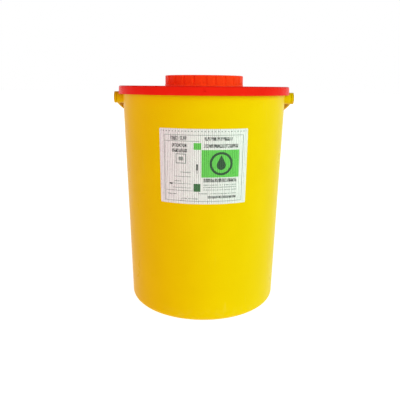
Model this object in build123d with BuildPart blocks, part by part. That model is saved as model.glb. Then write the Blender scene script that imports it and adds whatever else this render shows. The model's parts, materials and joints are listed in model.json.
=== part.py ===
from build123d import *
import os
from math import acos, atan2, cos, degrees, hypot, pi, radians, sin, tan

# A round sharps container of twelve litres, moulded in polypropylene, all sizes in mm.
# A tapered yellow bucket stands on a foot ring. A red lid snaps over its rim for good, onto a
# rubber seal. A short neck on the lid holds a white needle remover, and a ribbed red cap
# turns and rises on the neck's helical lugs. A yellow strap handle swings on two pressed-in
# pins in the bucket's ears, which reach out under the lid and up beside it, and the strap
# lies against the back of the bucket. A printed film label is stuck on the front.
# +Z is up, the front faces -Y, and the origin is on the floor, on the axis.

# ---- Bucket ---------------------------------------------------------------------------------
BASE_RADIUS = 107.0        # the outer wall, carried down to the floor
WALL_DRAFT = 2.3           # degrees that the wall leans out
RIM_HEIGHT = 313.0         # top edge of the open bucket
WALL = 1.8
FLOOR = 2.4
CORNER_RADIUS = 8.5        # outer radius between wall and floor
FOOT_LIFT = 1.5            # how far the floor is lifted inside the foot ring
FOOT_WIDTH = 7.0
BEAD_REACH = 3.4           # snap bead round the rim, measured out from the wall
BEAD_HEIGHT = 1.5
BEAD_DROP = 4.4            # rim top down to the bead's underside

# ---- Ears, pins and strap handle -----------------------------------------------------------
EAR_RADIUS = 8.5
EAR_THICKNESS = 3.0        # the part of the ear that stands beside the lid
EAR_LID_GAP = 0.45         # between the ear and the lid's skirt, sideways and upwards
PIVOT_DROP = 17.1          # lid top down to the pivot axis
PIN_RADIUS = 4.0           # the hole in the ear
PIN_BITE = 2.5             # depth of that hole
PIN_HEAD = 1.0
PIN_TIP_GAP = 0.3          # left empty at the bottom of the hole
PIN_SLACK = 0.02           # the pin is pressed in, so next to nothing
EYE_CLEARANCE = 0.08       # running clearance of the handle's eye on the pin
HANDLE_THICKNESS = 2.2
HANDLE_WIDTH = 10.0
HANDLE_SIDE_GAP = 0.55     # each side of the handle's eye, along the pin
HANDLE_WALL_GAP = 0.8      # between the hanging strap and the wall, label included
GRIP_ARC = 64.0            # degrees of the strap that are thicker, for the hand
GRIP_EXTRA = 1.0
GRIP_WIDTH = 12.0

# ---- Lid and its seal ----------------------------------------------------------------------
LID_WALL = 1.8
LID_SKIRT = 11.7
SKIRT_FLARE = 0.5          # the skirt is this much wider at its lower edge
LID_EDGE_RADIUS = 2.2
SNAP_CLEARANCE = 0.3
SNAP_BITE = 1.4            # how far the lid's barb reaches under the bucket's bead
BARB_HEIGHT = 1.4
SEAL_THICKNESS = 2.4
SEAL_WIDTH = 4.0
PLUG_CLEARANCE = 0.5       # between the lid's inner ring and the bucket's mouth
PLUG_DEPTH = 8.0
PLUG_WALL = 1.6
EDGE_BAND = 13.0           # raised band round the lid's edge
DECK_DROP = 1.4            # the deck lies this far below that band
DECK_RIBS = 12
DECK_RIB_HEIGHT = 2.0
DECK_RIB_WIDTH = 1.2

# ---- Neck and needle remover ---------------------------------------------------------------
NECK_WALL = 2.4
NECK_HEIGHT = 13.4         # above the deck
LEDGE_REACH = 3.3          # inward ledge that carries the needle remover
REMOVER_THICKNESS = 2.0
REMOVER_CLEARANCE = 0.4
DROP_LIP = 3.6             # raised lip round the opening that waste drops through
DROP_LIP_WALL = 1.8
NOTCH_COUNT = 3
NOTCH_RADIUS = 3.6
NOTCH_SLOT = 2.6
NOTCH_REACH = 8.5          # centre of each notch's round end, out from the drop opening
NOTCH_MARGIN = 4.4         # between a notch and the ledge

# ---- Cap and its liner ---------------------------------------------------------------------
CAP_RADIUS = 57.5
CAP_WALL = 1.8             # behind the grip's grooves
CAP_TOP_WALL = 2.0
CAP_GAP = 0.4              # between the cap's lower edge and the deck
LINER_THICKNESS = 1.2
FLANGE_HEIGHT = 3.2
FLANGE_REACH = 0.4
GRIP_GROOVES = 24
GROOVE_RADIUS = 2.4
GROOVE_DEPTH = 1.3
FRONT_GROOVE_WIDTH = 9.0   # flat groove at the front, with the arrow
SKIRT_CLEARANCE = 0.5      # between the neck's lugs and the cap's wall
PANEL_GAP = 1.8            # between the cap's sunk middle and the neck's bore
PANEL_DROP = 4.0
PANEL_RING_RADIUS = 26.0
PANEL_RING_WIDTH = 1.6
PANEL_RING_HEIGHT = 0.8

# ---- Helical lugs shared by neck and cap ---------------------------------------------------
LUG_COUNT = 4
LUG_LEAD = 22.0            # rise of the cap in one full turn
LUG_THICKNESS = 2.4        # at the root
LUG_CREST = 1.6
LUG_REACH = 1.7
LUG_ROOT = 0.4             # how far a lug's root is sunk in its wall
LUG_PLAY = 0.3
NECK_LUG_SPAN = 60.0       # degrees
NECK_LUG_START = 5.0       # degrees round from +X
NECK_LUG_HEIGHT = 6.2      # above the deck, at the lower end
CAP_LUG_SPAN = 26.0
CAP_LUG_START = 30.0

# ---- Label and alignment arrows ------------------------------------------------------------
LABEL_WIDTH = 117.0
LABEL_HEIGHT = 98.0
LABEL_BELOW_RIM = 98.0     # rim top down to the label's centre
LABEL_THICKNESS = 0.3
LABEL_CORNER = 1.5
MARK_WIDTH = 5.0
MARK_DEPTH = 0.5
TOUCH = 0.01               # tolerance for picking an edge by its height


def wall_radius(height):
    """Outer radius of the bucket's wall at a height above the floor."""
    return BASE_RADIUS + height * tan(radians(WALL_DRAFT))


# ---- Heights and radii that follow from the sizes above --------------------------------------
inside_floor = FOOT_LIFT + FLOOR
rim_radius = wall_radius(RIM_HEIGHT)
mouth_radius = rim_radius - WALL
bead_radius = rim_radius + BEAD_REACH
bead_underside = RIM_HEIGHT - BEAD_DROP
seal_top = RIM_HEIGHT + SEAL_THICKNESS
lid_top = seal_top + LID_WALL
skirt_bottom = lid_top - LID_SKIRT
skirt_inner = bead_radius + SNAP_CLEARANCE
lid_radius = skirt_inner + LID_WALL
plug_outer = mouth_radius - PLUG_CLEARANCE
plug_inner = plug_outer - PLUG_WALL
deck = lid_top - DECK_DROP
deck_underside = deck - LID_WALL

cap_bore = CAP_RADIUS - GROOVE_DEPTH - CAP_WALL
neck_radius = cap_bore - SKIRT_CLEARANCE - LUG_REACH
neck_bore = neck_radius - NECK_WALL
neck_top = deck + NECK_HEIGHT
ledge_radius = neck_bore - LEDGE_REACH
drop_radius = ledge_radius - NOTCH_MARGIN - NOTCH_RADIUS - NOTCH_REACH
cap_bottom = deck + CAP_GAP
cap_ceiling = neck_top + LINER_THICKNESS
cap_top = cap_ceiling + CAP_TOP_WALL
flange_top = cap_bottom + FLANGE_HEIGHT
panel_top = cap_top - PANEL_DROP
plug_radius = neck_bore - PANEL_GAP
panel_radius = plug_radius - 2 * CAP_TOP_WALL

pivot_height = lid_top - PIVOT_DROP
ear_inner = lid_radius + SKIRT_FLARE + EAR_LID_GAP
ear_face = ear_inner + EAR_THICKNESS
handle_inner = ear_face + HANDLE_SIDE_GAP
handle_outer = handle_inner + HANDLE_THICKNESS
pin_shoulder = handle_outer + HANDLE_SIDE_GAP
eye_radius = PIN_RADIUS - PIN_SLACK + EYE_CLEARANCE

# The strap hangs until the lower inner edge of its grip is the wall gap away from the wall.
grip_edge = hypot(handle_inner, GRIP_WIDTH / 2)
wall_distance = wall_radius(pivot_height) * cos(radians(WALL_DRAFT)) + HANDLE_WALL_GAP
grip_edge_fall = WALL_DRAFT + degrees(acos(wall_distance / grip_edge))
handle_hang = grip_edge_fall - degrees(atan2(GRIP_WIDTH / 2, handle_inner))
print(f"strap hangs {handle_hang:.3f} degrees below level, pivots at z {pivot_height:.3f}")


def side_plane(side, reach):
    """A plane across the handle's pivot axis, facing outwards, on the -X or +X side."""
    return Plane(origin=(side * reach, 0, pivot_height), x_dir=(0, side, 0), z_dir=(side, 0, 0))


def ring_edges(part, height):
    """The part's circular edges at one height, the smallest first."""
    level = part.edges().filter_by(GeomType.CIRCLE)
    return level.filter_by_position(Axis.Z, height - TOUCH, height + TOUCH).sort_by(SortBy.LENGTH)


# ---- The ears: from inside the wall's thickness out under the lid, and then up beside it -------
ears = []
for side in (-1, 1):
    with BuildPart() as ear:
        ear_root = wall_radius(pivot_height) - WALL / 2
        with BuildSketch(side_plane(side, ear_face)):
            Circle(EAR_RADIUS)
        extrude(amount=ear_root - ear_face)
        with BuildSketch(side_plane(side, ear_inner)):
            with Locations((0, skirt_bottom - EAR_LID_GAP - pivot_height)):
                Rectangle(2 * EAR_RADIUS, 2 * EAR_RADIUS, align=(Align.CENTER, Align.MIN))
        extrude(amount=ear_root - ear_inner, mode=Mode.SUBTRACT)
        with BuildSketch(side_plane(side, ear_face)):
            Circle(PIN_RADIUS)
        extrude(amount=-PIN_BITE, mode=Mode.SUBTRACT)
    ears.append(ear.part)

# ---- The bucket: one revolved shell, with the ears joined on -----------------------------------
with BuildPart() as bucket:
    foot_inner = BASE_RADIUS - CORNER_RADIUS - FOOT_WIDTH
    with BuildSketch(Plane.XZ):
        with BuildLine():
            Polyline(
                (0, FOOT_LIFT),
                (foot_inner - FOOT_LIFT, FOOT_LIFT),
                (foot_inner, 0),
                (BASE_RADIUS, 0),
                (wall_radius(bead_underside), bead_underside),
                (bead_radius, bead_underside),
                (bead_radius, bead_underside + BEAD_HEIGHT),
                (rim_radius, RIM_HEIGHT),
                (mouth_radius, RIM_HEIGHT),
                (wall_radius(inside_floor) - WALL, inside_floor),
                (0, inside_floor),
                close=True,
            )
        make_face()
    revolve(axis=Axis.Z)
    fillet(ring_edges(bucket, 0)[-1], CORNER_RADIUS)
    fillet(ring_edges(bucket, inside_floor)[-1], CORNER_RADIUS - WALL)
    add(ears)
bucket.part.label = "bucket"

# ---- The pins: a shank pressed into each ear and a low round head outside the handle's eye -----
pins = []
for side, pin_name in ((-1, "handle_pin_left"), (1, "handle_pin_right")):
    outward = Axis((0, 0, 0), (side, 0, 0))
    with BuildPart() as pin:
        with BuildSketch(side_plane(side, pin_shoulder)):
            Circle(EAR_RADIUS)
        extrude(amount=PIN_HEAD)
        fillet(pin.faces().sort_by(outward)[-1].edges(), PIN_HEAD / 3)
        with BuildSketch(side_plane(side, pin_shoulder)):
            Circle(PIN_RADIUS - PIN_SLACK)
        extrude(amount=ear_face - PIN_BITE + PIN_TIP_GAP - pin_shoulder)
        chamfer(pin.faces().sort_by(outward)[0].edges(), PIN_RADIUS / 6)
    pin.part.label = pin_name
    pins.append(pin.part)

# ---- The strap handle: half a ring in its own plane, with a round eye at each end -------------
handle_plane = Plane(
    origin=(0, 0, pivot_height),
    x_dir=(1, 0, 0),
    z_dir=(0, sin(radians(handle_hang)), cos(radians(handle_hang))),
)
with BuildPart() as handle:
    with BuildSketch(handle_plane):
        Circle(handle_outer)
        Circle(handle_inner, mode=Mode.SUBTRACT)
        Rectangle(2 * handle_outer, handle_outer, align=(Align.CENTER, Align.MAX), mode=Mode.SUBTRACT)
    extrude(amount=HANDLE_WIDTH / 2, both=True)
    grip_start = 90 - GRIP_ARC / 2
    with BuildSketch(handle_plane):
        with BuildLine():
            outside = CenterArc((0, 0), handle_outer + GRIP_EXTRA, grip_start, GRIP_ARC)
            inside = CenterArc((0, 0), handle_inner, grip_start, GRIP_ARC)
            Line(outside @ 0, inside @ 0)
            Line(outside @ 1, inside @ 1)
        make_face()
    extrude(amount=GRIP_WIDTH / 2, both=True)
    for side in (-1, 1):
        with BuildSketch(side_plane(side, handle_inner)):
            Circle(EAR_RADIUS)
        extrude(amount=HANDLE_THICKNESS)
        with BuildSketch(side_plane(side, handle_inner)):
            Circle(eye_radius)
        extrude(amount=2 * HANDLE_THICKNESS, both=True, mode=Mode.SUBTRACT)
handle.part.label = "carry_handle"


# ---- The lugs: short helical ridges, four on the neck and four in the cap ----------------------
def lug(height, wall, root, crest, span):
    """One ridge that rises round the axis, on a wall's radius, from root radius to crest radius."""
    start = Plane(origin=(0, 0, height), x_dir=(1, 0, 0), z_dir=(0, -1, 0))
    with BuildPart() as ridge:
        with BuildLine():
            Helix(pitch=LUG_LEAD, height=LUG_LEAD * span / 360, radius=wall, center=(0, 0, height))
        with BuildSketch(start):
            with BuildLine():
                Polyline(
                    (root, -LUG_THICKNESS / 2),
                    (crest, -LUG_CREST / 2),
                    (crest, LUG_CREST / 2),
                    (root, LUG_THICKNESS / 2),
                    close=True,
                )
            make_face()
        sweep(is_frenet=True)
    return ridge.part


neck_lug_height = deck + NECK_LUG_HEIGHT
neck_lug = lug(
    neck_lug_height, neck_radius, neck_radius - LUG_ROOT, neck_radius + LUG_REACH, NECK_LUG_SPAN
)
cap_lug_rise = LUG_LEAD * (CAP_LUG_START - NECK_LUG_START) / 360
cap_lug_height = neck_lug_height + cap_lug_rise - LUG_THICKNESS - LUG_PLAY
cap_lug = lug(cap_lug_height, cap_bore, cap_bore + LUG_ROOT, cap_bore - LUG_REACH, CAP_LUG_SPAN)


def arrow(foot, tip):
    """Corners of a triangle, with its foot at one height and its tip at another."""
    return (-MARK_WIDTH / 2, foot), (MARK_WIDTH / 2, foot), (0, tip)


# ---- The lid: skirt with snap barb, plug ring, deck, neck and ledge in one revolved section ----
with BuildPart() as lid:
    barb_radius = bead_radius - SNAP_BITE
    barb_top = bead_underside - SNAP_CLEARANCE
    plug_bottom = seal_top - PLUG_DEPTH
    band_inner = lid_radius - EDGE_BAND
    with BuildSketch(Plane.XZ):
        with BuildLine():
            Polyline(
                (lid_radius + SKIRT_FLARE, skirt_bottom),
                (lid_radius, lid_top),
                (band_inner, lid_top),
                (band_inner - DECK_DROP, deck),
                (neck_radius, deck),
                (neck_radius, neck_top),
                (neck_bore, neck_top),
                (neck_bore, deck),
                (ledge_radius, deck),
                (ledge_radius, deck_underside),
                (plug_inner, deck_underside),
                (plug_inner, plug_bottom),
                (plug_inner + PLUG_WALL / 2, plug_bottom),
                (plug_outer, plug_bottom + PLUG_WALL),
                (plug_outer, seal_top),
                (skirt_inner, seal_top),
                (skirt_inner, barb_top),
                (barb_radius, barb_top),
                (barb_radius, barb_top - BARB_HEIGHT / 2),
                (skirt_inner, skirt_bottom),
                close=True,
            )
        make_face()
    revolve(axis=Axis.Z)
    band_edges = ring_edges(lid, lid_top)
    fillet(band_edges[-1], LID_EDGE_RADIUS)
    fillet(band_edges[0], DECK_DROP / 2)
    # Stiffening ribs under the deck, between the ledge and the plug ring.
    rib_inner = (ledge_radius + neck_bore) / 2
    rib_outer = (plug_inner + plug_outer) / 2
    with BuildSketch(Plane.XY.offset(deck_underside - DECK_RIB_HEIGHT)):
        with PolarLocations((rib_inner + rib_outer) / 2, DECK_RIBS, start_angle=180 / DECK_RIBS):
            Rectangle(rib_outer - rib_inner, DECK_RIB_WIDTH)
    extrude(amount=DECK_RIB_HEIGHT + LID_WALL / 2)
    with PolarLocations(0, LUG_COUNT, start_angle=NECK_LUG_START):
        add(neck_lug)
    # A pointer cut in the skirt's front, under the cap's arrow.
    pointer_top = lid_top - LID_EDGE_RADIUS
    with BuildSketch(Plane.XZ.offset(lid_radius - MARK_DEPTH)):
        Polygon(*arrow(pointer_top - MARK_WIDTH, pointer_top), align=None)
    extrude(amount=SKIRT_FLARE + 2 * MARK_DEPTH, mode=Mode.SUBTRACT)
lid.part.label = "lid"

# ---- The lid's seal: a flat rubber ring between the rim and the lid's groove -------------------
with BuildPart() as lid_seal:
    seal_inner = plug_outer + PLUG_CLEARANCE / 2
    with BuildSketch(Plane.XY.offset(RIM_HEIGHT)):
        Circle(seal_inner + SEAL_WIDTH)
        Circle(seal_inner, mode=Mode.SUBTRACT)
    extrude(amount=SEAL_THICKNESS)
lid_seal.part.label = "lid_seal"

# ---- The needle remover: a disc on the neck's ledge with a lipped hole and keyhole notches -----
with BuildPart() as needle_remover:
    with BuildSketch(Plane.XY.offset(deck)):
        Circle(neck_bore - REMOVER_CLEARANCE)
    extrude(amount=REMOVER_THICKNESS)
    with BuildSketch(Plane.XY.offset(deck + REMOVER_THICKNESS)):
        Circle(drop_radius + DROP_LIP_WALL)
    extrude(amount=DROP_LIP)
    with BuildSketch(Plane.XY.offset(deck)):
        Circle(drop_radius)
        with PolarLocations(drop_radius + NOTCH_REACH, NOTCH_COUNT, start_angle=-90):
            Circle(NOTCH_RADIUS)
        with PolarLocations(drop_radius, NOTCH_COUNT, start_angle=-90):
            Rectangle(2 * NOTCH_REACH, NOTCH_SLOT)
    extrude(amount=REMOVER_THICKNESS + DROP_LIP, mode=Mode.SUBTRACT)
needle_remover.part.label = "needle_remover"

# ---- The cap: grooved skirt on a plain flange, sunk middle, lugs inside -------------------------
with BuildPart() as cap:
    with BuildSketch(Plane.XZ):
        with BuildLine():
            Polyline(
                (cap_bore, cap_bottom),
                (CAP_RADIUS + FLANGE_REACH, cap_bottom),
                (CAP_RADIUS + FLANGE_REACH, flange_top),
                (CAP_RADIUS, flange_top),
                (CAP_RADIUS, cap_top),
                (panel_radius + CAP_TOP_WALL, cap_top),
                (panel_radius, panel_top),
                (0, panel_top),
                (0, panel_top - CAP_TOP_WALL),
                (panel_radius + CAP_TOP_WALL / 2, panel_top - CAP_TOP_WALL),
                (plug_radius, cap_ceiling),
                (cap_bore, cap_ceiling),
                close=True,
            )
        make_face()
    revolve(axis=Axis.Z)
    top_edges = ring_edges(cap, cap_top)
    fillet(top_edges[-1], GROOVE_DEPTH)
    fillet(top_edges[0], CAP_TOP_WALL / 2)
    groove_step = 360 / GRIP_GROOVES
    with BuildSketch(Plane.XY.offset(flange_top)):
        with PolarLocations(
            CAP_RADIUS + GROOVE_RADIUS - GROOVE_DEPTH,
            GRIP_GROOVES - 1,
            start_angle=groove_step - 90,
            angular_range=360 - groove_step,
        ):
            Circle(GROOVE_RADIUS)
    extrude(amount=cap_top - flange_top, mode=Mode.SUBTRACT)
    # The front groove is wide and flat, and carries an arrow that points down at the lid.
    with BuildSketch(Plane.XZ.offset(CAP_RADIUS - GROOVE_DEPTH)):
        with Locations((0, flange_top)):
            Rectangle(
                FRONT_GROOVE_WIDTH, cap_top - flange_top, align=(Align.CENTER, Align.MIN)
            )
    extrude(amount=2 * GROOVE_DEPTH, mode=Mode.SUBTRACT)
    with BuildSketch(Plane.XZ.offset(CAP_RADIUS - GROOVE_DEPTH - CAP_WALL / 2)):
        Polygon(*arrow(flange_top + MARK_WIDTH, flange_top + MARK_WIDTH / 5), align=None)
    extrude(amount=CAP_WALL / 2 + MARK_DEPTH)
    with BuildSketch(Plane.XY.offset(panel_top)):
        Circle(PANEL_RING_RADIUS)
        Circle(PANEL_RING_RADIUS - PANEL_RING_WIDTH, mode=Mode.SUBTRACT)
    extrude(amount=PANEL_RING_HEIGHT)
    with PolarLocations(0, LUG_COUNT, start_angle=CAP_LUG_START):
        add(cap_lug)
cap.part.label = "cap"

# ---- The cap's liner: a foam ring that lies on the neck's edge, held in by the cap's lugs ------
with BuildPart() as cap_liner:
    with BuildSketch(Plane.XY.offset(neck_top)):
        Circle(cap_bore - SKIRT_CLEARANCE)
        Circle(plug_radius + SKIRT_CLEARANCE, mode=Mode.SUBTRACT)
    extrude(amount=LINER_THICKNESS)
cap_liner.part.label = "cap_liner"

# ---- The label: a thin patch of the wall's own cone, centred on the front ----------------------
label_centre = RIM_HEIGHT - LABEL_BELOW_RIM
label_low = label_centre - LABEL_HEIGHT / 2
label_high = label_centre + LABEL_HEIGHT / 2
label_arc = degrees(LABEL_WIDTH / wall_radius(label_centre))
label_edge = radians(-90 - label_arc / 2)
label_plane = Plane(
    origin=(0, 0, 0),
    x_dir=(cos(label_edge), sin(label_edge), 0),
    z_dir=(sin(label_edge), -cos(label_edge), 0),
)
with BuildPart() as label:
    with BuildSketch(label_plane):
        with BuildLine():
            Polyline(
                (wall_radius(label_low), label_low),
                (wall_radius(label_low) + LABEL_THICKNESS, label_low),
                (wall_radius(label_high) + LABEL_THICKNESS, label_high),
                (wall_radius(label_high), label_high),
                close=True,
            )
        make_face()
    revolve(axis=Axis.Z, revolution_arc=label_arc)
    fillet(label.edges().sort_by(SortBy.LENGTH)[:4], LABEL_CORNER)
label.part.label = "front_label"

os.makedirs("parts", exist_ok=True)
for piece in (bucket, handle, lid, lid_seal, needle_remover, cap, cap_liner, label):
    export_step(piece.part, f"parts/{piece.part.label}.step")
for pin_part in pins:
    export_step(pin_part, f"parts/{pin_part.label}.step")

inner_top = mouth_radius
inner_low = wall_radius(inside_floor) - WALL
brim = pi / 3 * (RIM_HEIGHT - inside_floor) * (inner_top**2 + inner_top * inner_low + inner_low**2)
print(f"brim capacity about {brim / 1e6:.2f} litres")
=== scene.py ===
import json
from math import atan2, cos, pi, radians, sin, tan
import bpy
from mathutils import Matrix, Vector


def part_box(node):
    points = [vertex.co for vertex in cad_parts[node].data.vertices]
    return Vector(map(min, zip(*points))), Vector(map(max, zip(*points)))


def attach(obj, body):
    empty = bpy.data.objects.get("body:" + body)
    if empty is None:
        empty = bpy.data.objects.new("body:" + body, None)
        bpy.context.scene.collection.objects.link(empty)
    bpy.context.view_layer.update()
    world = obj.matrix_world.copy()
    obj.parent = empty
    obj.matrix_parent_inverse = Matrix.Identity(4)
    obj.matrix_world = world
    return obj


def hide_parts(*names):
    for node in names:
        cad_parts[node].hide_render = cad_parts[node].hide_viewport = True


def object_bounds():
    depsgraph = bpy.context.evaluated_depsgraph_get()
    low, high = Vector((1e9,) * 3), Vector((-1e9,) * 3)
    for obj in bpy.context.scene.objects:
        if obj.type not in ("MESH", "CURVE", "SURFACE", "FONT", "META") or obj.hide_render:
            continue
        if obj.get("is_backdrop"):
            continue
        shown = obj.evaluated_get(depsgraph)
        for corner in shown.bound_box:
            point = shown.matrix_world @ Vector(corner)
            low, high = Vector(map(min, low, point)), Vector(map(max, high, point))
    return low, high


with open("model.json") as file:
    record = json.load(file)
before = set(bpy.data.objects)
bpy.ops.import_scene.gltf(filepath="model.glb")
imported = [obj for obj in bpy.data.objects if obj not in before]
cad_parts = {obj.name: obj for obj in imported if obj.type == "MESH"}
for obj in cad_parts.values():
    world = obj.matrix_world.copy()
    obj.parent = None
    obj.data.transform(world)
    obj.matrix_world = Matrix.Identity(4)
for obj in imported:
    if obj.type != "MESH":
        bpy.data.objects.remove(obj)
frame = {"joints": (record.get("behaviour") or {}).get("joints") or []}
cad_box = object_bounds()
joints = {joint["name"]: joint for joint in frame["joints"]}

# ---- Camera -----------------------------------------------------------------------------------
# A camera level with the lid and tilted a little down. It leans by half a degree, and its shift
# puts the container in the upper middle of the frame.
SENSOR_WIDTH = 36.0
FOCAL_LENGTH = 41.4792
CAMERA_DISTANCE = 0.6940
CAMERA_HEIGHT = 0.3176
CAMERA_TILT = radians(8.0)
CAMERA_LEAN = -0.009
CAMERA_SHIFT = (-0.0102, -0.1234)
NEAREST = 0.01
camera_data = bpy.data.cameras.new("camera")
camera_data.sensor_width = SENSOR_WIDTH
camera_data.lens = FOCAL_LENGTH
camera_data.shift_x, camera_data.shift_y = CAMERA_SHIFT
camera_data.clip_start = NEAREST
camera = bpy.data.objects.new("camera", camera_data)
bpy.context.scene.collection.objects.link(camera)
camera.location = (0, -CAMERA_DISTANCE, CAMERA_HEIGHT)
camera.rotation_mode = "XYZ"
camera.rotation_euler = (pi / 2 - CAMERA_TILT, CAMERA_LEAN, 0)
bpy.context.scene.camera = camera

# ---- Bucket -----------------------------------------------------------------------------------
# An open tapered bucket, injection moulded in glossy yellow polypropylene from a gate under
# the middle of its floor. It stands on a narrow ring, and its rim has a bead that the lid
# snaps over. The two ears for the handle are moulded in one piece with it.
def deselect():
    """Leaves edit mode and clears the selection."""
    if bpy.context.object and bpy.context.object.mode != "OBJECT":
        bpy.ops.object.mode_set(mode="OBJECT")
    bpy.ops.object.select_all(action="DESELECT")


def make_active(piece):
    """Selects one piece alone."""
    deselect()
    piece.select_set(True)
    bpy.context.view_layer.objects.active = piece


def settle(name):
    """Names the new object and applies its place, turn and size to its mesh."""
    bpy.ops.object.transform_apply(location=True, rotation=True, scale=True)
    bpy.context.object.name = name
    return bpy.context.object


POINT_SIZE = 0.001
SAME_POINT = 1e-6
SMOOTH_BELOW = 35


def arc(centre, radius, start, end, steps):
    """Points of a round stretch of an outline: centre (radius, height), angles in degrees."""
    for step in range(steps + 1):
        angle = radians(start + (end - start) * step / steps)
        yield centre[0] + radius * cos(angle), centre[1] + radius * sin(angle)


def start_point(name, across, height):
    """A mesh of one point in the XZ plane, in edit mode."""
    deselect()
    bpy.ops.mesh.primitive_plane_add(size=POINT_SIZE)
    piece = bpy.context.object
    piece.name = name
    bpy.ops.object.mode_set(mode="EDIT")
    bpy.ops.mesh.select_all(action="SELECT")
    bpy.ops.mesh.merge(type="CENTER")
    bpy.ops.transform.translate(value=(across, 0, height))
    return piece


def drawn(name, outline):
    """Draws a closed outline of (across, height) points in the XZ plane, and stays in edit mode."""
    piece = start_point(name, *outline[0])
    for here, there in zip(outline, outline[1:] + outline[:1]):
        step = (there[0] - here[0], 0, there[1] - here[1])
        bpy.ops.mesh.extrude_region_move(TRANSFORM_OT_translate={"value": step})
    bpy.ops.mesh.select_all(action="SELECT")
    bpy.ops.mesh.remove_doubles(threshold=SAME_POINT)
    bpy.ops.mesh.select_all(action="SELECT")
    return piece


def close_mesh():
    """Merges doubled points, turns the faces outwards and leaves edit mode."""
    bpy.ops.mesh.select_all(action="SELECT")
    bpy.ops.mesh.remove_doubles(threshold=2 * SAME_POINT)
    bpy.ops.mesh.delete_loose()
    bpy.ops.mesh.select_all(action="SELECT")
    bpy.ops.mesh.normals_make_consistent(inside=False)
    bpy.ops.object.mode_set(mode="OBJECT")


def turned(name, outline, steps=192):
    """Spins a closed outline of (radius, height) points all the way round the vertical axis."""
    piece = drawn(name, outline)
    bpy.ops.mesh.spin(steps=steps, angle=2 * pi, center=(0, 0, 0), axis=(0, 0, 1))
    close_mesh()
    return piece


def apply_modifier(piece, kind, **settings):
    """Adds a modifier with these settings and applies it."""
    make_active(piece)
    modifier = piece.modifiers.new(kind.lower(), kind)
    for setting, value in settings.items():
        setattr(modifier, setting, value)
    bpy.ops.object.modifier_apply(modifier=modifier.name)


def shade(piece):
    """Shades a piece smooth, apart from its sharp edges."""
    make_active(piece)
    bpy.ops.object.shade_smooth_by_angle(angle=radians(SMOOTH_BELOW))


def soften(piece, width, segments=3, angle=30):
    """Rounds the sharp edges of a moulding and shades it smooth."""
    apply_modifier(
        piece, "BEVEL", width=width, segments=segments, limit_method="ANGLE",
        angle_limit=radians(angle), use_clamp_overlap=True,
    )
    shade(piece)


def rod(name, radius, start, end, vertices=96):
    """A cylinder from one point to another, along X or along Z."""
    deselect()
    spans = [abs(there - here) for here, there in zip(start, end)]
    bpy.ops.mesh.primitive_cylinder_add(
        vertices=vertices, radius=radius, depth=max(spans),
        location=[(here + there) / 2 for here, there in zip(start, end)],
        rotation=(0, pi / 2 if spans[0] > spans[2] else 0, 0),
    )
    return settle(name)


def block(name, corner, opposite):
    """A box between two opposite corners."""
    deselect()
    bpy.ops.mesh.primitive_cube_add(
        size=1, location=[(here + there) / 2 for here, there in zip(corner, opposite)],
        scale=[abs(there - here) for here, there in zip(corner, opposite)],
    )
    return settle(name)


def boolean(piece, tool, operation):
    """Joins a tool to a piece or cuts it out of it, and removes the tool."""
    apply_modifier(piece, "BOOLEAN", operation=operation, object=tool, solver="EXACT")
    bpy.data.objects.remove(tool)


bucket_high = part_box("bucket")[1]
lid_low, lid_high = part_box("lid")
pivot_height = joints["handle_swing"]["pos_m"][2]
BASE_RADIUS = 0.107
DRAFT = tan(radians(2.3))
BUCKET_WALL = 0.0018
BUCKET_FLOOR = 0.0024
BEAD_DROP = 0.0044
BEAD_REACH = 0.0034
BEAD_HEIGHT = 0.0015
FOOT_LIFT = 0.0015
FOOT_INNER = 0.0915
CORNER = 0.0085
CORNER_PROUD = 0.0004
CORNER_START = -88
CORNER_END = 2
RING_GAP = 0.03
RINGS = 9
rim_height = bucket_high.z
rim_radius = BASE_RADIUS + rim_height * DRAFT
bead_underside = rim_height - BEAD_DROP
bead_radius = rim_radius + BEAD_REACH
inside_floor = FOOT_LIFT + BUCKET_FLOOR
corner_middle = (BASE_RADIUS - CORNER + CORNER_PROUD, CORNER)
inside_corner = (corner_middle[0], inside_floor + CORNER - BUCKET_WALL)


def wall_at(height):
    """Outer radius of the bucket's wall at a height."""
    return BASE_RADIUS + height * DRAFT


bucket = turned("bucket_body", [
    (0, FOOT_LIFT), (FOOT_INNER - FOOT_LIFT, FOOT_LIFT), (FOOT_INNER, 0),
    *arc(corner_middle, CORNER, CORNER_START, CORNER_END, 14),
    *[(wall_at(ring * RING_GAP), ring * RING_GAP) for ring in range(1, RINGS + 1)],
    (wall_at(bead_underside), bead_underside),
    (bead_radius, bead_underside), (bead_radius, bead_underside + BEAD_HEIGHT),
    (rim_radius, rim_height), (rim_radius - BUCKET_WALL, rim_height),
    *[(wall_at(ring * RING_GAP) - BUCKET_WALL, ring * RING_GAP) for ring in range(RINGS, 0, -1)],
    *arc(inside_corner, CORNER - BUCKET_WALL, CORNER_END, CORNER_START, 10),
    (0, inside_floor),
])
MOULD_EDGE = 0.0004
soften(bucket, MOULD_EDGE)

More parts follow.
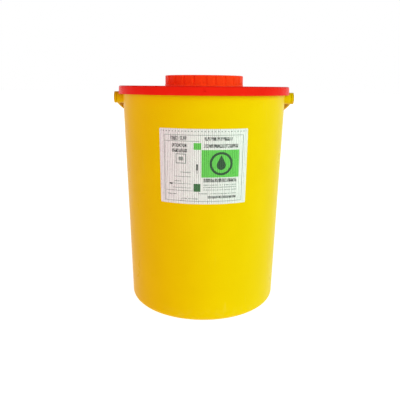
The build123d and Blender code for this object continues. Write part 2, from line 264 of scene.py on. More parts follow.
EAR_RADIUS = 0.0085
EAR_SIDES = 90
EAR_BITE = 0.6
EAR_LID_GAP = 0.00045
PIN_RADIUS = 0.004
PIN_SIDES = 64
PIN_BITE = 0.0025
for side in (-1, 1):
    ear_root = (side * (wall_at(pivot_height) - BUCKET_WALL * EAR_BITE), 0, pivot_height)
    ear = rod("ear", EAR_RADIUS, ear_root, (side * bucket_high.x, 0, pivot_height), EAR_SIDES)
    # The upper part of the ear is cut back under the lid, so only its end stands beside the skirt.
    beside_lid = block(
        "room", (side * BASE_RADIUS, -2 * EAR_RADIUS, lid_low.z - EAR_LID_GAP),
        (side * (lid_high.x + EAR_LID_GAP), 2 * EAR_RADIUS, rim_height),
    )
    boolean(ear, beside_lid, "DIFFERENCE")
    hole_bottom = (side * (bucket_high.x - PIN_BITE), 0, pivot_height)
    hole_mouth = (side * (bucket_high.x + PIN_BITE), 0, pivot_height)
    boolean(ear, rod("hole", PIN_RADIUS, hole_bottom, hole_mouth, PIN_SIDES), "DIFFERENCE")
    soften(ear, MOULD_EDGE, 2)
    boolean(bucket, ear, "UNION")
# The injection gate leaves a small nub under the middle of the floor.
GATE_RADIUS = 0.004
GATE_SINK = 0.0004
FINE_EDGE = 0.0003
gate = rod("gate", GATE_RADIUS, (0, 0, FOOT_LIFT / 2), (0, 0, FOOT_LIFT + GATE_SINK), 32)
soften(gate, FINE_EDGE, 2)
boolean(bucket, gate, "UNION")
shade(bucket)


PLASTIC_IOR = 1.49


class Nodes:
    """Short calls that add nodes to one material and join them up."""

    def __init__(self, name):
        self.material = bpy.data.materials.new(name)
        self.material.use_nodes = True
        self.tree = self.material.node_tree
        self.shader = self.tree.nodes["Principled BSDF"]
        self.place = self.tree.nodes.new("ShaderNodeTexCoord").outputs["Object"]

    def put(self, socket, value):
        """Links a node's output to a socket, or sets the socket's value."""
        if isinstance(value, bpy.types.NodeSocket):
            self.tree.links.new(value, socket)
        else:
            socket.default_value = value

    def add(self, kind, inputs, output=0, **settings):
        """Adds a node with these inputs and settings, and gives one of its outputs."""
        node = self.tree.nodes.new("ShaderNode" + kind)
        for setting, value in settings.items():
            setattr(node, setting, value)
        for socket, value in inputs.items():
            self.put(node.inputs[socket], value)
        return node.outputs[output]

    def math(self, operation, *values):
        """Works out one number from others."""
        return self.add("Math", dict(enumerate(values)), operation=operation)

    def noise(self, scale, detail=2.0, roughness=0.5, stretch=(1, 1, 1)):
        """Soft random patches over the piece, from 0 to 1."""
        place = self.add("Mapping", {"Vector": self.place, "Scale": stretch})
        inputs = {"Vector": place, "Scale": scale, "Detail": detail, "Roughness": roughness}
        return self.add("TexNoise", inputs, output="Fac")

    def span(self, value, low, high, to_low, to_high):
        """Moves a value from one range to another, and holds it inside that."""
        inputs = {"Value": value, 1: low, 2: high, 3: to_low, 4: to_high}
        return self.add("MapRange", inputs)

    def mix(self, factor, first, second):
        """Goes from the first colour to the second as the factor goes from 0 to 1."""
        node = self.tree.nodes.new("ShaderNodeMix")
        node.data_type = "RGBA"
        self.put(node.inputs[0], factor)
        self.put(node.inputs[6], first)
        self.put(node.inputs[7], second)
        return node.outputs[2]

    def bump(self, height, strength, distance, under=None):
        """Raises the surface by a height, on top of an earlier bump."""
        inputs = {"Height": height, "Strength": strength, "Distance": distance}
        if under:
            inputs["Normal"] = under
        return self.add("Bump", inputs)

    def finish(self, colour, roughness, normal, sheen=(1, 1, 1), mirror=0.5):
        """Joins the shader's inputs. Sheen tints what it mirrors head on, and mirror is how much."""
        self.put(self.shader.inputs["Base Color"], colour)
        self.put(self.shader.inputs["Roughness"], roughness)
        self.put(self.shader.inputs["Normal"], normal)
        self.shader.inputs["Specular Tint"].default_value = (*sheen, 1)
        self.shader.inputs["Specular IOR Level"].default_value = mirror
        self.shader.inputs["IOR"].default_value = PLASTIC_IOR
        return self.material


PLASTIC_MIRROR = 0.03


def polypropylene(name, colour, deep_colour, sheen, gloss, scuff_low, scuff_high):
    """Moulded polypropylene: faint mottling, fine moulded grain, hairline scratches and dull scuffs."""
    nodes = Nodes(name)
    mottle = nodes.span(nodes.noise(28, 3), 0.3, 0.7, 0, 1)
    cloudy = nodes.mix(mottle, (*deep_colour, 1), (*colour, 1))
    # Hairlines run up the wall, as mouldings get them when they are stacked and pulled apart.
    hairline = nodes.span(nodes.noise(420, 2, 0.6, (1, 1, 0.04)), 0.66, 0.74, 0, 1)
    patch = nodes.span(nodes.noise(9, 2), 0.5, 0.62, 0, 1)
    scratch = nodes.math("MULTIPLY", hairline, patch)
    height = nodes.add("SeparateXYZ", {0: nodes.place}, output="Z")
    scuff_zone = nodes.span(height, scuff_low, scuff_high, 1, 0)
    scuff = nodes.math("MULTIPLY", scuff_zone, nodes.span(nodes.noise(140, 4, 0.65), 0.45, 0.7, 0, 1))
    worn = nodes.math("MULTIPLY", nodes.math("MAXIMUM", scratch, scuff), 0.14)
    pale = tuple(channel * 0.8 + 0.12 for channel in colour)
    flow = nodes.span(nodes.noise(60, 3), 0.3, 0.7, -0.03, 0.04)
    rough = nodes.math("ADD", nodes.math("MULTIPLY_ADD", worn, 1.1, gloss), flow)
    grain = nodes.bump(nodes.noise(1600, 2), 0.1, 0.0001)
    ripple = nodes.bump(nodes.noise(16, 1), 0.1, 0.0003, grain)
    cut = nodes.bump(scratch, 0.12, 0.0001, ripple)
    return nodes.finish(nodes.mix(worn, cloudy, (*pale, 1)), rough, cut, sheen, PLASTIC_MIRROR)


def dress(piece, material):
    """Gives a piece its one material."""
    piece.data.materials.clear()
    piece.data.materials.append(material)


YELLOW = (0.70, 0.42, 0.0006)
DEEP_YELLOW = (0.68, 0.402, 0.0005)
YELLOW_SHEEN = (1, 0.8, 0.02)
bucket_plastic = polypropylene(
    "yellow_polypropylene", YELLOW, DEEP_YELLOW, YELLOW_SHEEN, 0.3, 0, 0.022
)
dress(bucket, bucket_plastic)
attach(bucket, "container")
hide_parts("bucket")

# ---- Lid --------------------------------------------------------------------------------------
# A red polypropylene lid, moulded in one piece and pressed over the bucket's bead for good. Its
# edge is a raised band round a lower deck, and in the middle a short neck with four helical lugs
# takes the cap. Twelve ribs under the deck stiffen it, and a pointer is cut in its front.
LID_WALL = 0.0018
SKIRT_CLEARANCE = 0.0003
SNAP_BITE = 0.0014
SEAL_HEIGHT = 0.0024
PLUG_CLEARANCE = 0.0005
PLUG_DEPTH = 0.008
PLUG_WALL = 0.0016
BAND_WIDTH = 0.013
DECK_DROP = 0.0014
NECK_RADIUS = 0.0522
NECK_BORE = 0.0498
LEDGE_RADIUS = 0.0465
LID_EDGE = 0.0022
seal_top = rim_height + SEAL_HEIGHT
lid_top = seal_top + LID_WALL
deck = lid_top - DECK_DROP
deck_underside = deck - LID_WALL
skirt_inner = bead_radius + SKIRT_CLEARANCE
lid_radius = skirt_inner + LID_WALL
plug_outer = rim_radius - BUCKET_WALL - PLUG_CLEARANCE
plug_inner = plug_outer - PLUG_WALL
plug_bottom = seal_top - PLUG_DEPTH
neck_top = lid_high.z
barb_radius = bead_radius - SNAP_BITE
barb_top = bead_underside - SKIRT_CLEARANCE
band_inner = lid_radius - BAND_WIDTH
lid = turned("lid_shell", [
    (lid_high.x, lid_low.z),
    *arc((lid_radius - LID_EDGE, lid_top - LID_EDGE), LID_EDGE, 0, 90, 8),
    (band_inner, lid_top), (band_inner - DECK_DROP, deck),
    (NECK_RADIUS, deck), (NECK_RADIUS, neck_top),
    (NECK_BORE, neck_top), (NECK_BORE, deck),
    (LEDGE_RADIUS, deck), (LEDGE_RADIUS, deck_underside),
    (plug_inner, deck_underside), (plug_inner, plug_bottom),
    (plug_inner + PLUG_WALL / 2, plug_bottom), (plug_outer, plug_bottom + PLUG_WALL),
    (plug_outer, seal_top), (skirt_inner, seal_top),
    (skirt_inner, barb_top), (barb_radius, barb_top),
    (barb_radius, barb_top - SNAP_BITE / 2), (skirt_inner, lid_low.z),
])
MARK = 0.005
MARK_DEPTH = 0.0005


def prism(name, outline, front, back):
    """A flat shape in the XZ plane, made as deep as from front to back along Y."""
    piece = drawn(name, outline)
    bpy.ops.mesh.edge_face_add()
    bpy.ops.transform.translate(value=(0, front, 0))
    bpy.ops.mesh.extrude_region_move(TRANSFORM_OT_translate={"value": (0, back - front, 0)})
    close_mesh()
    return piece


pointer_top = lid_top - LID_EDGE
pointer_foot = pointer_top - MARK
pointer = prism(
    "pointer", [(-MARK / 2, pointer_foot), (MARK / 2, pointer_foot), (0, pointer_top)],
    -lid_radius - 4 * MARK_DEPTH, -lid_radius + MARK_DEPTH,
)
boolean(lid, pointer, "DIFFERENCE")
soften(lid, FINE_EDGE)

LUG_LEAD = 0.022
LUG_REACH = 0.0017
LUG_SINK = 0.0004
LUG_HALF_ROOT = 0.0012
LUG_HALF_CREST = 0.0008
LUG_SOFTENING = 0.00025
LUGS = 4
LUG_STEPS = 20


def repeat_round(piece, count, step):
    """Copies a mesh round the axis, anticlockwise from above, which is a negative turn for spin."""
    make_active(piece)
    bpy.ops.object.mode_set(mode="EDIT")
    bpy.ops.mesh.select_all(action="SELECT")
    bpy.ops.mesh.spin(
        steps=count - 1, angle=-radians(step * (count - 1)), dupli=True,
        center=(0, 0, 0), axis=(0, 0, 1),
    )
    bpy.ops.object.mode_set(mode="OBJECT")
    return piece


def helical_lugs(name, root, crest, height, span, start):
    """Four short ridges with sloping flanks that climb round the axis, with closed ends."""
    lug = drawn(name, [
        (root, -LUG_HALF_ROOT), (crest, -LUG_HALF_CREST), (crest, LUG_HALF_CREST), (root, LUG_HALF_ROOT),
    ])
    bpy.ops.object.mode_set(mode="OBJECT")
    apply_modifier(
        lug, "SCREW", angle=radians(span), screw_offset=LUG_LEAD * span / 360,
        steps=LUG_STEPS, render_steps=LUG_STEPS, use_smooth_shade=False,
    )
    bpy.ops.object.mode_set(mode="EDIT")
    bpy.ops.mesh.select_all(action="SELECT")
    bpy.ops.mesh.fill_holes(sides=4)
    close_mesh()
    lug.rotation_euler = (0, 0, radians(start))
    lug.location = (0, 0, height)
    make_active(lug)
    settle(name)
    soften(lug, LUG_SOFTENING, 2)
    return repeat_round(lug, LUGS, 360 / LUGS)


def join(piece, *others):
    """Joins other objects into a piece."""
    make_active(piece)
    for other in others:
        other.select_set(True)
    bpy.ops.object.join()


NECK_LUG_SPAN = 60
NECK_LUG_START = 5
NECK_LUG_RISE = 0.0062
neck_lug_height = deck + NECK_LUG_RISE
neck_lugs = helical_lugs(
    "neck_lugs", NECK_RADIUS - LUG_SINK, NECK_RADIUS + LUG_REACH, neck_lug_height,
    NECK_LUG_SPAN, NECK_LUG_START,
)
RIB_COUNT = 12
RIB_WIDTH = 0.0012
RIB_HEIGHT = 0.002
rib_inner = (LEDGE_RADIUS + NECK_BORE) / 2
rib_outer = plug_inner + PLUG_WALL / 2
ribs = block(
    "ribs", (rib_inner, -RIB_WIDTH / 2, deck_underside - RIB_HEIGHT),
    (rib_outer, RIB_WIDTH / 2, deck_underside + LID_WALL / 2),
)
soften(ribs, FINE_EDGE, 2)
ribs.rotation_euler = (0, 0, pi / RIB_COUNT)
settle("ribs")
join(lid, neck_lugs, repeat_round(ribs, RIB_COUNT, 360 / RIB_COUNT))
RED = (0.72, 0.012, 0.006)
DEEP_RED = (0.68, 0.010, 0.005)
RED_SHEEN = (1, 0.15, 0.04)
lid_plastic = polypropylene("red_polypropylene", RED, DEEP_RED, RED_SHEEN, 0.28, 0.301, 0.309)
dress(lid, lid_plastic)
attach(lid, "container")
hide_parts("lid")

# ---- Lid seal ---------------------------------------------------------------------------------
# A flat ring of soft black rubber that lies in the groove under the lid's edge, pressed between
# the lid and the bucket's rim. Its faces are plain and its edges are barely rounded.
SEAL_WIDTH = 0.004
seal_inner = plug_outer + PLUG_CLEARANCE / 2
seal = turned("seal_ring", [
    (seal_inner, rim_height), (seal_inner + SEAL_WIDTH, rim_height),
    (seal_inner + SEAL_WIDTH, seal_top), (seal_inner, seal_top),
])
soften(seal, MOULD_EDGE, 2)


def rubbery(name, colour, deep_colour, pore_size, depth):
    """Soft rubber or foam: matt, clouded, and pitted with pores of one size."""
    nodes = Nodes(name)
    cloud = nodes.span(nodes.noise(90, 4), 0.3, 0.7, 0, 1)
    pores = nodes.add("TexVoronoi", {"Vector": nodes.place, "Scale": 1 / pore_size})
    rough = nodes.span(nodes.noise(300, 2), 0.3, 0.7, 0.68, 0.86)
    pitted = nodes.bump(pores, 0.5, depth, nodes.bump(nodes.noise(1200, 2), 0.2, depth / 2))
    colours = nodes.mix(cloud, (*deep_colour, 1), (*colour, 1))
    return nodes.finish(colours, rough, pitted)


RUBBER = (0.032, 0.032, 0.034)
DEEP_RUBBER = (0.022, 0.022, 0.024)
dress(seal, rubbery("black_rubber", RUBBER, DEEP_RUBBER, 0.0006, 0.00006))
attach(seal, "container")
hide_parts("lid_seal")

# ---- Needle remover ---------------------------------------------------------------------------
# A white polypropylene disc that lies on the ledge inside the neck. Waste drops through the
# lipped hole in its middle, and three keyhole notches round that hole take a used needle's hub,
# so that it is pulled off its syringe.
REMOVER_THICKNESS = 0.002
REMOVER_CLEARANCE = 0.0004
DROP_RADIUS = 0.030
DROP_LIP = 0.0036
DROP_LIP_WALL = 0.0018
NOTCH_RADIUS = 0.0036
NOTCH_SLOT = 0.0026
NOTCH_REACH = 0.0085
NOTCH_SIDES = 48
NOTCHES = 3
remover_outer = NECK_BORE - REMOVER_CLEARANCE
remover_top = deck + REMOVER_THICKNESS
lip_top = remover_top + DROP_LIP
remover = turned("needle_disc", [
    (DROP_RADIUS, deck), (remover_outer, deck), (remover_outer, remover_top),
    (DROP_RADIUS + DROP_LIP_WALL, remover_top), (DROP_RADIUS + DROP_LIP_WALL, lip_top),
    (DROP_RADIUS, lip_top),
])
notch_middle = DROP_RADIUS + NOTCH_REACH
notch_floor = deck - DROP_LIP
notch_ceiling = lip_top + DROP_LIP
notch = rod(
    "notch", NOTCH_RADIUS, (0, -notch_middle, notch_floor), (0, -notch_middle, notch_ceiling),
    NOTCH_SIDES,
)
slot = block(
    "slot", (-NOTCH_SLOT / 2, -notch_middle, notch_floor),
    (NOTCH_SLOT / 2, -DROP_RADIUS + NOTCH_REACH, notch_ceiling),
)
boolean(notch, slot, "UNION")
boolean(remover, repeat_round(notch, NOTCHES, 360 / NOTCHES), "DIFFERENCE")
soften(remover, FINE_EDGE, 2)
REMOVER_WHITE = (0.80, 0.80, 0.77)
DEEP_REMOVER_WHITE = (0.77, 0.77, 0.74)
remover_plastic = polypropylene(
    "white_polypropylene", REMOVER_WHITE, DEEP_REMOVER_WHITE, (1, 1, 1), 0.34, 0.3, 0.305
)
dress(remover, remover_plastic)
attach(remover, "container")
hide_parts("needle_remover")

# ---- Cap liner --------------------------------------------------------------------------------
# A ring of off-white foam, cut from sheet, that seals the cap on the neck's edge. The cap's lugs
# hold it in loosely, so it rises with the cap but needn't turn with it.
liner_low, liner_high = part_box("cap_liner")
LINER_WIDTH = 0.0054
FOAM_EDGE = 0.0002
liner = turned("liner_ring", [
    (liner_high.x - LINER_WIDTH, liner_low.z), (liner_high.x, liner_low.z),
    (liner_high.x, liner_high.z), (liner_high.x - LINER_WIDTH, liner_high.z),
])
soften(liner, FOAM_EDGE, 2)
FOAM = (0.78, 0.78, 0.74)
DEEP_FOAM = (0.72, 0.72, 0.68)
dress(liner, rubbery("white_foam", FOAM, DEEP_FOAM, 0.0004, 0.0001))
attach(liner, "liner")
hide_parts("cap_liner")

# ---- Cap --------------------------------------------------------------------------------------
# The screw cap that closes the neck, moulded in red. Its colour is lighter than the lid's, partly
# as painted light that makes up for the shade on its grooved wall. Twenty-three round grooves and
# one wide flat one at the front make its grip, above a plain flange. The flat one carries an
# arrow. The middle of the top is sunk, and four lugs inside take hold of the neck's.
cap_low, cap_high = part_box("cap")
CAP_RADIUS = 0.0575
CAP_BORE = 0.0544
CAP_TOP_WALL = 0.002
FLANGE_HEIGHT = 0.0032
FLANGE_EDGE = 0.0006
GROOVES = 24
CAP_FACETS = GROOVES * 8
CAP_EDGE = 0.00025
GROOVE_RADIUS = 0.0024
GROOVE_DEPTH = 0.0013
GROOVE_SIDES = 48
FRONT_GROOVE = 0.009
ARROW_EDGE = 0.0002
PLUG_RADIUS = 0.048
PANEL_RADIUS = 0.044
PANEL_DROP = 0.004
RING_RADIUS = 0.026
RING_WIDTH = 0.0016
RING_HEIGHT = 0.0008
NUB_RADIUS = 0.0035
cap_ceiling = cap_high.z - CAP_TOP_WALL
flange_top = cap_low.z + FLANGE_HEIGHT
panel_top = cap_high.z - PANEL_DROP
panel_rim = PANEL_RADIUS + CAP_TOP_WALL
cap = turned("cap_shell", [
    (CAP_BORE, cap_low.z), (cap_high.x, cap_low.z),
    *arc((cap_high.x - FLANGE_EDGE, flange_top - FLANGE_EDGE), FLANGE_EDGE, 0, 90, 4),
    (CAP_RADIUS, flange_top),
    *arc((CAP_RADIUS - GROOVE_DEPTH, cap_high.z - GROOVE_DEPTH), GROOVE_DEPTH, 0, 90, 6),
    (panel_rim, cap_high.z), (PANEL_RADIUS, panel_top),
    (RING_RADIUS, panel_top), (RING_RADIUS, panel_top + RING_HEIGHT),
    (RING_RADIUS - RING_WIDTH, panel_top + RING_HEIGHT), (RING_RADIUS - RING_WIDTH, panel_top),
    (NUB_RADIUS, panel_top), (NUB_RADIUS, panel_top - RING_HEIGHT / 2),
    (NUB_RADIUS / 2, panel_top - RING_HEIGHT / 2), (NUB_RADIUS / 2, panel_top),
    (0, panel_top), (0, panel_top - CAP_TOP_WALL),
    (PANEL_RADIUS + CAP_TOP_WALL / 2, panel_top - CAP_TOP_WALL),
    (PLUG_RADIUS, cap_ceiling), (CAP_BORE, cap_ceiling),
], CAP_FACETS)
# Half a facet of turn puts each groove in the middle of a facet.
cap.rotation_euler = (0, 0, pi / CAP_FACETS)
settle("cap_shell")
groove_step = 360 / GROOVES
groove_middle = CAP_RADIUS + GROOVE_RADIUS - GROOVE_DEPTH
first_groove = radians(groove_step - 90)
groove_foot = (groove_middle * cos(first_groove), groove_middle * sin(first_groove), flange_top)
grooves = rod(
    "grooves", GROOVE_RADIUS, groove_foot, (*groove_foot[:2], cap_high.z + CAP_TOP_WALL), GROOVE_SIDES
)
boolean(cap, repeat_round(grooves, GROOVES - 1, groove_step), "DIFFERENCE")
flat_depth = CAP_RADIUS - GROOVE_DEPTH
front_groove = block(
    "front_groove", (-FRONT_GROOVE / 2, -CAP_RADIUS - GROOVE_DEPTH, flange_top),
    (FRONT_GROOVE / 2, -flat_depth, cap_high.z + CAP_TOP_WALL),
)
boolean(cap, front_groove, "DIFFERENCE")
soften(cap, CAP_EDGE)
arrow = prism(
    "arrow", [(-MARK / 2, flange_top + MARK), (0, flange_top + MARK / 5), (MARK / 2, flange_top + MARK)],
    -flat_depth - MARK_DEPTH, -flat_depth + MARK_DEPTH,
)
soften(arrow, ARROW_EDGE, 2)
CAP_LUG_SPAN = 26
CAP_LUG_START = 30
CAP_LUG_DROP = 0.0027
climb = LUG_LEAD * (CAP_LUG_START - NECK_LUG_START) / 360
cap_lugs = helical_lugs(
    "cap_lugs", CAP_BORE + LUG_SINK, CAP_BORE - LUG_REACH, neck_lug_height + climb - CAP_LUG_DROP,
    CAP_LUG_SPAN, CAP_LUG_START,
)
join(cap, arrow, cap_lugs)
# The cap's red is brightened as painted light, against the shade that falls on its grooved wall.
CAP_RED_WITH_PAINTED_LIGHT = (0.97, 0.048, 0.010)
DEEP_CAP_RED_WITH_PAINTED_LIGHT = (0.94, 0.040, 0.008)
cap_plastic_with_painted_light = polypropylene(
    "cap_red_polypropylene_with_painted_light", CAP_RED_WITH_PAINTED_LIGHT, DEEP_CAP_RED_WITH_PAINTED_LIGHT, RED_SHEEN, 0.32, 0.3165, 0.3185
)
dress(cap, cap_plastic_with_painted_light)
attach(cap, "cap")
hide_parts("cap")

# ---- Carrying handle --------------------------------------------------------------------------
# A strap of yellow polypropylene, moulded as half a ring with a round eye at each end. It is
# thicker and wider in the middle, where a shallow channel saves material. It hangs against the
# back of the bucket, and swings over the lid to the front.
handle_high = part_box("carry_handle")[1]
hang = radians((joints["handle_swing"]["range_deg"][1] - 180) / 2)
STRAP_THICKNESS = 0.0022
STRAP_WIDTH = 0.010
GRIP_WIDTH = 0.012
GRIP_EXTRA = 0.001
GRIP_ARC = 64
CHANNEL_WIDTH = 0.007
CHANNEL_DEPTH = 0.0005
CHANNEL_ARC = 54
EYE_CLEARANCE = 0.00006
strap_outer = handle_high.x
strap_inner = strap_outer - STRAP_THICKNESS


def strap_arc(name, inner, outer, width, span, steps):
    """A flat bar, bent level round the vertical axis and centred on the back."""
    bar = drawn(name, [(inner, -width / 2), (outer, -width / 2), (outer, width / 2), (inner, width / 2)])
    bpy.ops.mesh.edge_face_add()
    bpy.ops.mesh.spin(steps=steps, angle=-radians(span), center=(0, 0, 0), axis=(0, 0, 1))
    close_mesh()
    bar.rotation_euler = (0, 0, radians(90 - span / 2))
    settle(name)
    return bar


handle = strap_arc("handle", strap_inner, strap_outer, STRAP_WIDTH, 180, 120)
grip = strap_arc("grip", strap_inner, strap_outer + GRIP_EXTRA, GRIP_WIDTH, GRIP_ARC, 48)
boolean(handle, grip, "UNION")
channel = strap_arc(
    "channel", strap_outer + GRIP_EXTRA - CHANNEL_DEPTH, strap_outer + 2 * GRIP_EXTRA,
    CHANNEL_WIDTH, CHANNEL_ARC, 40,
)
boolean(handle, channel, "DIFFERENCE")
for side in (-1, 1):
    eye = rod("eye", EAR_RADIUS, (side * strap_inner, 0, 0), (side * strap_outer, 0, 0))
    boolean(handle, eye, "UNION")
    hole = rod(
        "hole", PIN_RADIUS + EYE_CLEARANCE, (side * (strap_inner - STRAP_THICKNESS), 0, 0),
        (side * (strap_outer + STRAP_THICKNESS), 0, 0), PIN_SIDES,
    )
    boolean(handle, hole, "DIFFERENCE")
soften(handle, MOULD_EDGE)
handle.rotation_euler = (-hang, 0, 0)
handle.location = (0, 0, pivot_height)
settle("handle")
HANDLE_YELLOW = (0.78, 0.47, 0.0006)
DEEP_HANDLE_YELLOW = (0.74, 0.44, 0.0005)
handle_plastic = polypropylene(
    "handle_polypropylene", HANDLE_YELLOW, DEEP_HANDLE_YELLOW, YELLOW_SHEEN, 0.32, 0.25, 0.27
)
dress(handle, handle_plastic)
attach(handle, "handle")
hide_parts("carry_handle")

# ---- Handle pins ------------------------------------------------------------------------------
# Two short rivets of the same yellow polypropylene, pressed through the handle's eyes into the
# ears. The broad low head of each has a shallow dimple from its ejector pin.
PIN_HEAD = 0.001
PIN_SLACK = 0.00002
DIMPLE_RADIUS = 0.0042
DIMPLE_DEPTH = 0.0003
PIN_EDGE = 0.00025
for side, node in ((-1, "handle_pin_left"), (1, "handle_pin_right")):
    inner_end, outer_end = sorted((corner.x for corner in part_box(node)), key=abs)
    shoulder = outer_end - side * PIN_HEAD
    pin = rod(node + "_rivet", EAR_RADIUS, (shoulder, 0, pivot_height), (outer_end, 0, pivot_height))
    dimple = rod(
        "dimple", DIMPLE_RADIUS, (outer_end - side * DIMPLE_DEPTH, 0, pivot_height),
        (outer_end + side * DIMPLE_DEPTH, 0, pivot_height), PIN_SIDES,
    )
    boolean(pin, dimple, "DIFFERENCE")
    shank = rod(
        "shank", PIN_RADIUS - PIN_SLACK, (inner_end, 0, pivot_height),
        (shoulder + side * PIN_HEAD / 4, 0, pivot_height), PIN_SIDES,
    )
    boolean(pin, shank, "UNION")
    soften(pin, PIN_EDGE)
    dress(pin, handle_plastic)
    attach(pin, "container")
    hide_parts(node)

# ---- Label ------------------------------------------------------------------------------------
# A printed plastic film with rounded corners, stuck on the front of the bucket, so it is a patch
# of the wall's own cone. The print is generic: a frame, blank lines to write on, bars in place
# of words, and a drop in a ring on a green panel.
label_low, label_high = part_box("front_label")
LABEL_WIDTH = 0.117
LABEL_HEIGHT = 0.098
LABEL_CORNER = 0.0015
FILM_THICKNESS = 0.00025
label_middle = (label_low.z + label_high.z) / 2
label_span = LABEL_WIDTH / wall_at(label_middle)
label = start_point("label", wall_at(label_low.z), label_low.z)
bpy.ops.mesh.extrude_region_move(
    TRANSFORM_OT_translate={"value": (LABEL_HEIGHT * DRAFT, 0, LABEL_HEIGHT)}
)
bpy.ops.mesh.select_all(action="SELECT")
bpy.ops.mesh.spin(steps=48, angle=-label_span, center=(0, 0, 0), axis=(0, 0, 1))
close_mesh()
label.rotation_euler = (0, 0, -(pi + label_span) / 2)
settle("label")
SIDE_MARGIN = 0.001
label_side = label_span / 2 - SIDE_MARGIN
for point in label.data.vertices:
    point.select = abs(atan2(point.co.x, -point.co.y)) > label_side
bpy.ops.object.mode_set(mode="EDIT")
bpy.ops.mesh.bevel(affect="VERTICES", offset=LABEL_CORNER, segments=4)
close_mesh()
# The print's place runs from 0 to 1 along the arc and up the height.
print_place = label.data.uv_layers.new(name="print")
for loop in label.data.loops:
    place = label.data.vertices[loop.vertex_index].co
    along = atan2(place.x, -place.y) / label_span + 0.5
    print_place.data[loop.index].uv = (along, (place.z - label_low.z) / LABEL_HEIGHT)
apply_modifier(label, "SOLIDIFY", thickness=FILM_THICKNESS, offset=1)
shade(label)


MILLIMETRES = 1000
PRINT_LINE_HEIGHT = 2.4


class Print(Nodes):
    """Nodes for a print of flat areas, placed in millimetres from the middle of the label."""

    def __init__(self, name):
        super().__init__(name)
        place = self.add("UVMap", {}, uv_map="print")
        along = self.add("SeparateXYZ", {0: place}, output="X")
        height = self.add("SeparateXYZ", {0: place}, output="Y")
        half_width = LABEL_WIDTH * MILLIMETRES / 2
        half_height = LABEL_HEIGHT * MILLIMETRES / 2
        self.across = self.span(along, 0, 1, -half_width, half_width)
        self.up = self.span(height, 0, 1, -half_height, half_height)
        self.words = self.broken(1.1, 0.40)
        self.letters = self.broken(2.6, 0.46)

    def broken(self, scale, gap):
        """Short strokes with gaps between, which differ from line to line."""
        line = self.math("SNAP", self.up, PRINT_LINE_HEIGHT)
        place = self.add("CombineXYZ", {0: self.across, 1: line})
        strokes = self.add("TexNoise", {"Vector": place, "Scale": scale, "Detail": 0}, output="Fac")
        return self.math("GREATER_THAN", strokes, gap)

    def area(self, left, right, low, high):
        """One upright rectangle."""
        in_width = self.math("COMPARE", self.across, (left + right) / 2, (right - left) / 2)
        in_height = self.math("COMPARE", self.up, (low + high) / 2, (high - low) / 2)
        return self.math("MULTIPLY", in_width, in_height)

    def areas(self, *corners):
        """All of several areas, each given by its left, right, lower and upper side."""
        total = self.area(*corners[0])
        for sides in corners[1:]:
            total = self.math("MAXIMUM", total, self.area(*sides))
        return total

    def ink(self, ground, mask, colour):
        """Prints a colour on the sheet where the mask is 1."""
        return self.mix(mask, ground, (*colour, 1))


label_print = Print("printed_film")
BLACK = (0.035, 0.034, 0.036)
GREY = (0.24, 0.24, 0.25)
GREEN = (0.10, 0.44, 0.06)
DARK_GREEN = (0.035, 0.12, 0.04)
DEEP_INK = (0.012, 0.05, 0.016)
FILM = (0.72, 0.64, 0.69)
DEEP_FILM = (0.69, 0.61, 0.66)
LINE = 0.35
film_tone = label_print.span(label_print.noise(35, 3), 0.3, 0.7, 0, 1)
sheet = label_print.mix(film_tone, (*DEEP_FILM, 1), (*FILM, 1))
# A row of dots along the top, a frame, and the rules that part its columns.
DOT_PITCH = 4.2
dot_row = label_print.area(-56.5, 56.5, 45.1, 46.5)
dot_phase = label_print.math("FRACT", label_print.math("DIVIDE", label_print.across, DOT_PITCH))
dots = label_print.math("MULTIPLY", dot_row, label_print.math("COMPARE", dot_phase, 0.5, 0.19))
rules = label_print.areas(
    (-51.5, 52, 41 - LINE, 41 + LINE), (-51.5, 52, -45.1 - LINE, -45.1 + LINE),
    (-51.5 - LINE, -51.5 + LINE, -45.1, 41), (52 - LINE, 52 + LINE, -45.1, 41),
    (-51.5, -5, 33.2 - LINE, 33.2 + LINE), (-50, -4, -31.5 - LINE, -31.5 + LINE),
    (-38, -16, -12.9 - LINE, -12.9 + LINE), (-41, -16, -22.3 - LINE, -22.3 + LINE),
    (-41, -16, -27.7 - LINE, -27.7 + LINE),
)
sheet = label_print.ink(sheet, label_print.math("MAXIMUM", dots, rules), GREY)
# Green fields: a small one over a fill-level mark, a darker one below, and the large panel.
sheet = label_print.ink(
    sheet, label_print.areas((-12.5, -2.9, 22.3, 31), (-2.5, 47, -13.6, 22.2)), GREEN
)
sheet = label_print.ink(sheet, label_print.area(-12.5, -3.5, -32.4, -22), DARK_GREEN)
# Bars stand for words: heavy ones for headings, and broken thin ones for lines of small print.
headings = label_print.areas(
    (-43, -32, 34.2, 39.6), (-30, -21.5, 34.2, 39.6), (-41, -21, 25.3, 30), (-41, -21, 18.6, 23.4),
    (1.4, 37.5, 34, 38.6), (0.3, 45, 24.9, 29.6), (0, 44, -19.8, -14.9), (5.6, 44, -41.2, -37.8),
)
headings = label_print.math("MULTIPLY", headings, label_print.letters)
sheet = label_print.ink(sheet, headings, BLACK)
small_print = label_print.areas(
    (-30, -16, -7.7, -6.6), (-38, -29, -19.5, -18.4), (0, 44, -24, -22.9), (0, 44, -27, -25.9),
    (0, 44, -30.5, -29.4), (-6, 44, -35.5, -34.4), (-49, -35, -37, -35.9), (-29, -7, -42.5, -41.4),
)
sheet = label_print.ink(sheet, label_print.math("MULTIPLY", small_print, label_print.words), GREY)
marks = label_print.areas((-9.2, -6.9, -4.3, 3.7), (-8.4, -7.7, -9, -4.3), (-45, -41, -23.7, -21.7))
sheet = label_print.ink(sheet, marks, BLACK)
# A plain outlined square, for a pictogram.
square = label_print.math(
    "SUBTRACT", label_print.area(-36, -22, 4, 17), label_print.area(-34.8, -23.2, 5.2, 15.8)
)
square = label_print.math("MAXIMUM", square, label_print.area(-32, -26, 8, 13))
sheet = label_print.ink(sheet, square, GREY)
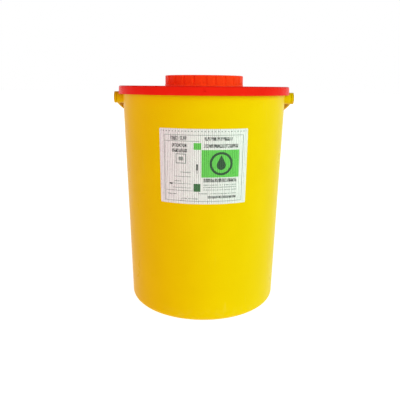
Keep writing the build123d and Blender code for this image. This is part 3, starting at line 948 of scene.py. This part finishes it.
# A drop in a ring, on the large panel.
DROP_ACROSS = 23
DROP_UP = 2.2
RING_MIDDLE = 13.6
RING_LINE = 1.5
DROP_SIZE = 6.0
DROP_TIP = 13.5
RING_RISE = 2.2
drop_shoulder = DROP_SIZE / 2.4
from_side = label_print.math("SUBTRACT", label_print.across, DROP_ACROSS)
from_base = label_print.math("SUBTRACT", label_print.up, DROP_UP)
from_middle = label_print.math("SUBTRACT", label_print.up, DROP_UP + RING_RISE)


def distance(first, second):
    """Length of a step of this much across and this much up."""
    squares = [label_print.math("MULTIPLY", value, value) for value in (first, second)]
    return label_print.math("SQRT", label_print.math("ADD", *squares))


ring = label_print.math("COMPARE", distance(from_side, from_middle), RING_MIDDLE, RING_LINE)
ball = label_print.math("LESS_THAN", distance(from_side, from_base), DROP_SIZE)
narrowing = label_print.span(from_base, drop_shoulder, DROP_TIP, DROP_SIZE * 0.91, 0)
cone = label_print.math("LESS_THAN", label_print.math("ABSOLUTE", from_side), narrowing)
cone = label_print.math("MULTIPLY", cone, label_print.math("GREATER_THAN", from_base, drop_shoulder))
drop = label_print.math("MAXIMUM", ball, cone)
sheet = label_print.ink(sheet, label_print.math("MAXIMUM", ring, drop), DEEP_INK)
film_flow = label_print.span(label_print.noise(120, 3), 0.3, 0.7, 0.24, 0.34)
film_ripple = label_print.bump(label_print.noise(22, 1), 0.12, 0.0003)
film_grain = label_print.bump(label_print.noise(1500, 2), 0.06, 0.00005, film_ripple)
dress(label, label_print.finish(sheet, film_flow, film_grain))
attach(label, "container")
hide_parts("front_label")

# ---- Floor and light --------------------------------------------------------------------------
# A white floor and a white horizon all round, under a dim ceiling. Two wide lights shine on the
# container: a weak warm one from its left and a strong greenish one from its right.
floor_nodes = Nodes("pale_floor")
speckle = floor_nodes.span(floor_nodes.noise(40, 3), 0.3, 0.7, 0, 1)
DEEP_FLOOR = (0.30, 0.30, 0.30)
FLOOR_GREY = (0.32, 0.32, 0.32)
floor_colour = floor_nodes.mix(speckle, (*DEEP_FLOOR, 1), (*FLOOR_GREY, 1))
floor_grain = floor_nodes.bump(floor_nodes.noise(400, 2), 0.05, 0.0002)
FLOOR_GLOW = 0.95
FLOOR_SIZE = 40
FLOOR_ROUGHNESS = 0.9
floor_nodes.shader.inputs["Emission Color"].default_value = (1, 1, 1, 1)
floor_nodes.shader.inputs["Emission Strength"].default_value = FLOOR_GLOW
deselect()
bpy.ops.mesh.primitive_plane_add(size=FLOOR_SIZE)
floor = bpy.context.object
floor.name = "floor"
dress(floor, floor_nodes.finish(floor_colour, FLOOR_ROUGHNESS, floor_grain))
floor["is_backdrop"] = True

bpy.context.scene.view_settings.view_transform = "Standard"
world = bpy.data.worlds.new("studio")
bpy.context.scene.world = world
world.use_nodes = True
sky = world.node_tree
direction = sky.nodes.new("ShaderNodeTexCoord").outputs["Generated"]
compass = sky.nodes.new("ShaderNodeSeparateXYZ")
sky.links.new(direction, compass.inputs[0])
WHITE = (1.0, 1.0, 1.0, 1)
CEILING = (0.3, 0.3, 0.3, 1)
HORIZON_TOP = 0.22
CEILING_START = 0.5
share = sky.nodes.new("ShaderNodeMapRange")
share.interpolation_type = "SMOOTHSTEP"
share.inputs["From Min"].default_value = HORIZON_TOP
share.inputs["From Max"].default_value = CEILING_START
sky.links.new(compass.outputs["Z"], share.inputs["Value"])
mix = sky.nodes.new("ShaderNodeMix")
mix.data_type = "RGBA"
mix.inputs[6].default_value = WHITE
mix.inputs[7].default_value = CEILING
sky.links.new(share.outputs[0], mix.inputs[0])
studio = mix.outputs[2]
sky.links.new(studio, sky.nodes["Background"].inputs["Color"])
sky.nodes["Background"].inputs["Strength"].default_value = 1.0
MIDDLE_HEIGHT = 0.16
LIGHT_WIDTH = 60


def far_light(name, location, strength, colour):
    """A wide light far away, that shines from the direction of a place to the container."""
    data = bpy.data.lights.new(name, "SUN")
    data.energy = strength
    data.color = colour
    data.angle = radians(LIGHT_WIDTH)
    light = bpy.data.objects.new(name, data)
    bpy.context.scene.collection.objects.link(light)
    light.location = location
    aim = Vector((0, 0, MIDDLE_HEIGHT)) - light.location
    light.rotation_euler = aim.to_track_quat("-Z", "Y").to_euler()


far_light("warm_left", (-2, -1.2, 0.9), 0.75, (1.0, 0.05, 0.0))
far_light("cool_right", (2, -1.6, 1.0), 3.1, (0.5, 1.0, 0.6))

boxes = {"cad": cad_box, "visual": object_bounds()}
boxes = {name: [list(corner) for corner in corners] for name, corners in boxes.items()}
